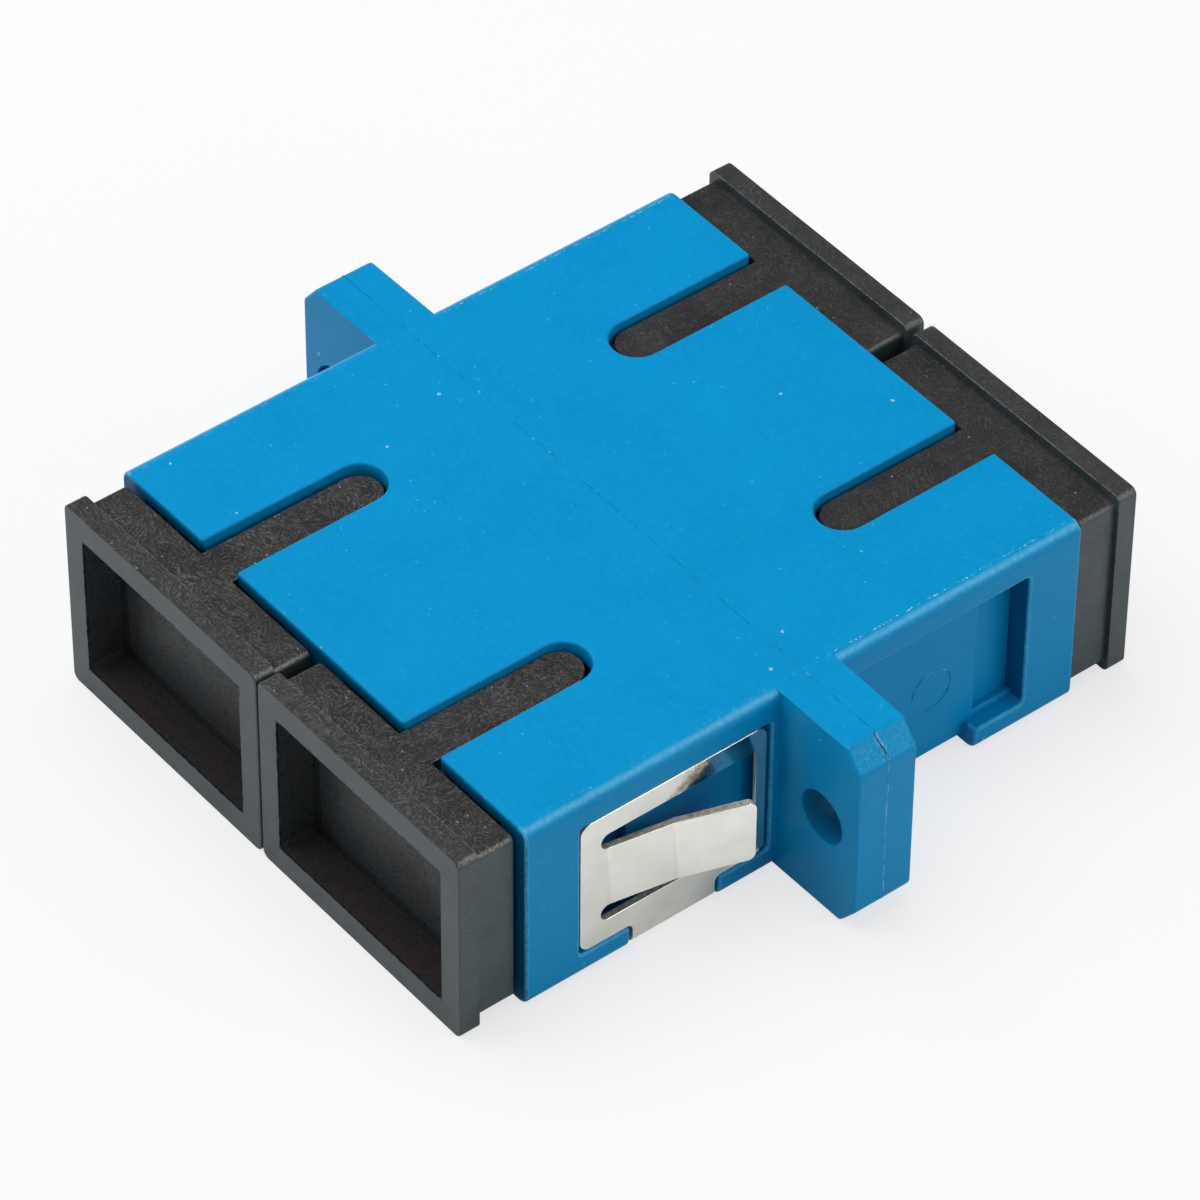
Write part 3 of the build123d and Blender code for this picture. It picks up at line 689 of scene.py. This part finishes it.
def slope_crack(side, strand, shift, pale_range):
    """One strand of the torn weld on an ear's upper slope: it crosses the slope, swinging to one side."""
    top, foot = (side * SLOPE_X, shift - 0.1, TOP_Z), (side * EAR_X, shift + 0.12, SLOPE_Z)
    centre, direction = along([top, foot], 0.02, False)
    count = len(centre)
    outward = np.cross(np.array([0.0, 1.0, 0.0]), direction)
    outward *= np.sign(np.sum(outward * centre, axis=1))[:, None]
    centre[:, 1] += wander(20 + strand, count, 9, -0.05, 0.05)
    pale = wander(30 + strand, count, 14, *pale_range)
    taper = np.sqrt(np.sin(np.linspace(0.05, pi - 0.05, count)))
    width = wander(40 + strand, count, 12, 0.015, 0.04) * taper
    height = wander(50 + strand, count, 12, 0.012, 0.04) * taper
    if pale_range[1] < 0.2:
        width, height = width * 1.6, 0.018 * taper
    return bead(f"weld_tear_{strand}", centre, direction, outward, width, height, pale, False)


def edge_flash(name, side, start, end, seed, strength):
    """Flash along a long upper edge, where the tool closed: a row of pale crumbs with gaps between them."""
    run = [(side * CORNER_START_X, start, TOP_Z), (side * CORNER_START_X, end, TOP_Z)]
    centre, direction = along(run, 0.03, False)
    count = len(centre)
    centre[:, 0] += side * wander(seed, count, count // 12, -0.03, 0.06)
    body = np.clip(wander(seed + 1, count, count // 3, -0.7, 1.0), 0.0, 1.0) * strength
    body[[0, -1]] = 0.0
    outward = np.tile([0.0, 0.0, 1.0], (count, 1))
    centre[:, 2] -= 0.01
    width, height = 0.01 + 0.026 * body, 0.006 + 0.03 * body
    return bead(name, centre, direction, outward, width, height, 0.3 + 0.7 * body, False)


def ejector_ring(name, side, y, z):
    """The witness of an ejector pin on a recess floor: a fine raised ring round y, z."""
    count, radius = 120, 0.97
    turn = np.arange(count) * 2 * pi / count
    centre = np.stack([np.full(count, side * RECESS_X), y + radius * np.cos(turn), z + radius * np.sin(turn)],
                      axis=1)
    direction = np.stack([np.zeros(count), -np.sin(turn), np.cos(turn)], axis=1)
    outward = np.tile([float(side), 0.0, 0.0], (count, 1))
    pale = wander(60, count, 24, 0.08, 0.5)
    width, height = np.full(count, 0.028), wander(61, count, 24, 0.014, 0.026)
    return bead(name, centre, direction, outward, width, height, pale, True)


def witness_line(name, side, start, end, z):
    """A tool joint across a recess floor: a straight, hardly raised line."""
    centre, direction = along([(side * RECESS_X, start, z), (side * RECESS_X, end, z)], 0.05, False)
    count = len(centre)
    outward = np.tile([float(side), 0.0, 0.0], (count, 1))
    width, height, pale = np.full(count, 0.02), np.full(count, 0.008), wander(70, count, 30, 0.3, 0.6)
    return bead(name, centre, direction, outward, width, height, pale, False)


# Stage: a pale floor under soft light
FLOOR_HALF_METRES = 4.0
LAMP_METRES = 0.5


def add_stage():
    """A wide floor: a pale matte sheet that keeps the shadow for the camera, mid grey for bounced light."""
    material, tree, output = new_material("pale_floor")
    paths = add(tree, "LightPath")
    mirrored = add(tree, "Math", {0: paths.outputs["Is Glossy Ray"], 1: 0.9}, operation="MULTIPLY")
    seen = add(tree, "Math", {0: paths.outputs["Is Camera Ray"], 1: mirrored}, operation="ADD")
    tone = add(tree, "Mix", {0: seen, 6: "#cacaca", 7: "#f4f4f4"}, data_type="RGBA")
    matte = add(tree, "BsdfDiffuse", {"Color": tone})
    white = add(tree, "Emission", {"Strength": 1.0})
    mirrored = add(tree, "Math", {0: paths.outputs["Is Glossy Ray"], 1: 0.08}, operation="MULTIPLY")
    share = add(tree, "Math", {0: paths.outputs["Is Camera Ray"], 1: 0.7, 2: mirrored},
                operation="MULTIPLY_ADD")
    blend = add(tree, "MixShader", {0: share, 1: matte, 2: white})
    tree.links.new(blend.outputs[0], output.inputs["Surface"])
    mesh = bpy.data.meshes.new("floor")
    half, z = FLOOR_HALF_METRES, cad_box[0][2]
    corners = [(-half, -half, z), (half, -half, z), (half, half, z), (-half, half, z)]
    mesh.from_pydata(corners, [], [(0, 1, 2, 3)])
    mesh.materials.append(material)
    floor = bpy.data.objects.new("floor", mesh)
    bpy.context.scene.collection.objects.link(floor)


def add_light(name, azimuth, elevation, power, mirrored=True):
    """A square area lamp aimed at the object, as wide as it is far, which need not show in its gloss."""
    data = bpy.data.lights.new(name, "AREA")
    data.size = LAMP_METRES
    data.energy = power
    lamp = bpy.data.objects.new(name, data)
    bpy.context.scene.collection.objects.link(lamp)
    a, e = radians(azimuth), radians(elevation)
    towards = Vector((cos(a) * cos(e), sin(a) * cos(e), sin(e)))
    lamp.location = towards * LAMP_METRES
    lamp.rotation_euler = towards.to_track_quat("Z", "Y").to_euler()
    lamp.visible_camera = False
    lamp.visible_glossy = mirrored


def add_world():
    """An even sky for the soft light, seen as white, and in gloss a horizon under a dark zenith.

    The horizon is whitest on the right, and one lamp in the zenith shows on rounded upper edges.
    """
    world = bpy.data.worlds.new("studio")
    bpy.context.scene.world = world
    world.use_nodes = True
    tree = world.node_tree
    tree.nodes.clear()
    output = add(tree, "OutputWorld")
    paths = add(tree, "LightPath")
    direction = add(tree, "TexCoord").outputs["Generated"]
    height = add(tree, "SeparateXYZ", {0: direction}).outputs["Z"]
    overhead = add(tree, "MapRange", {"Value": height, "From Min": 0.0, "From Max": 0.4, "To Min": 1.0,
                                      "To Max": 0.06})
    window = add(tree, "VectorMath", {0: direction, 1: (0.84, 0.54, 0.0)}, operation="DOT_PRODUCT")
    window = add(tree, "MapRange", {"Value": window, "From Min": -0.6, "From Max": 0.5, "To Min": 0.35})
    lamp = add(tree, "VectorMath", {0: direction, 1: (0.454, 0.454, 0.765)}, operation="DOT_PRODUCT")
    lamp = add(tree, "MapRange", {"Value": lamp, "From Min": 0.965, "From Max": 0.985, "To Max": 6.0})
    overhead = add(tree, "Math", {0: overhead, 1: window, 2: lamp}, operation="MULTIPLY_ADD")
    ambient = add(tree, "Background", {"Strength": 0.3})
    mirrored = add(tree, "Background", {"Strength": overhead})
    white = add(tree, "Background", {"Strength": 1.0, "Color": "#ffffff"})
    first = add(tree, "MixShader", {0: paths.outputs["Is Glossy Ray"], 1: ambient, 2: mirrored})
    second = add(tree, "MixShader", {0: paths.outputs["Is Camera Ray"], 1: first, 2: white})
    tree.links.new(second.outputs[0], output.inputs["Surface"])


add_camera()
add_stage()
add_world()
add_light("overhead_softbox", 205.0, 73.0, 2.2, mirrored=False)
add_light("right_window", 33.0, 14.0, 1.0)
add_light("left_fill", 222.0, 15.0, 0.62, mirrored=False)
bpy.context.scene.view_settings.view_transform = "Standard"

blue, rubbed_highlit_blue = blue_abs("satin_abs"), blue_abs("satin_abs_rubbed_highlit", rub_and_highlight=0.7)
frosted_blue = blue_abs("frosted_abs", frosted=0.5)
near_black = [black_polyethylene("polyethylene_near", CAP_X_NEAR, 0.8),
              black_polyethylene("polyethylene_near_rubbed_highlit", CAP_X_NEAR, 0.8, rub_and_highlight=0.65)]
far_black = [black_polyethylene("polyethylene_far", CAP_X_FAR, 0.4),
             black_polyethylene("polyethylene_far_rubbed_highlit", CAP_X_FAR, 0.4, rub_and_highlight=0.5)]
steel, cut_steel = rolled_stainless(), sheared_stainless()
acetal, zirconia, flash = natural_acetal(), ground_zirconia(), weld_flash()

for end in ("near", "far"):
    finished(f"housing_{end}", "adapter", [blue, rubbed_highlit_blue, frosted_blue], EAR_CORNER,
             housing_corner, frosted_face)
    for side in ("left", "right"):
        cap = f"dust_cap_{end}_{side}"
        finished(cap, cap, near_black if end == "near" else far_black, CAP_CORNER, cap_corner)
        finished(f"sleeve_holder_{end}_{side}", "adapter", [acetal], HOLDER_CORNER)
for side in ("left", "right"):
    finished(f"split_sleeve_{side}", "adapter", [zirconia], SLEEVE_CORNER)
finished("panel_clip", "adapter", [steel, steel, cut_steel, burnished_stainless()],
         STRIP_CORNER, faces=sheared_face)

trim = [weld_bead(), slope_crack(1, 0, -0.07, (0.3, 0.8)), slope_crack(1, 1, 0.0, (0.0, 0.1)),
        slope_crack(1, 2, 0.06, (0.2, 0.75)), edge_flash("edge_flash_far_right", 1, 1.45, 13.4, 80, 1.0),
        edge_flash("edge_flash_far_left", -1, 1.45, 13.4, 84, 0.7),
        edge_flash("edge_flash_near_left", -1, -13.4, -1.45, 88, 0.35),
        ejector_ring("ejector_witness_right", 1, 6.85, -0.8),
        ejector_ring("ejector_witness_left", -1, 6.85, -0.8),
        witness_line("tool_line_right", 1, 1.95, 9.0, 2.5),
        witness_line("tool_line_left", -1, 1.95, 8.2, 2.5)]
for mesh in trim:
    place_piece(mesh, flash, "adapter")

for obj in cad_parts.values():
    obj.data.materials.clear()
    obj.data.materials.append(blue)

bpy.context.view_layer.update()
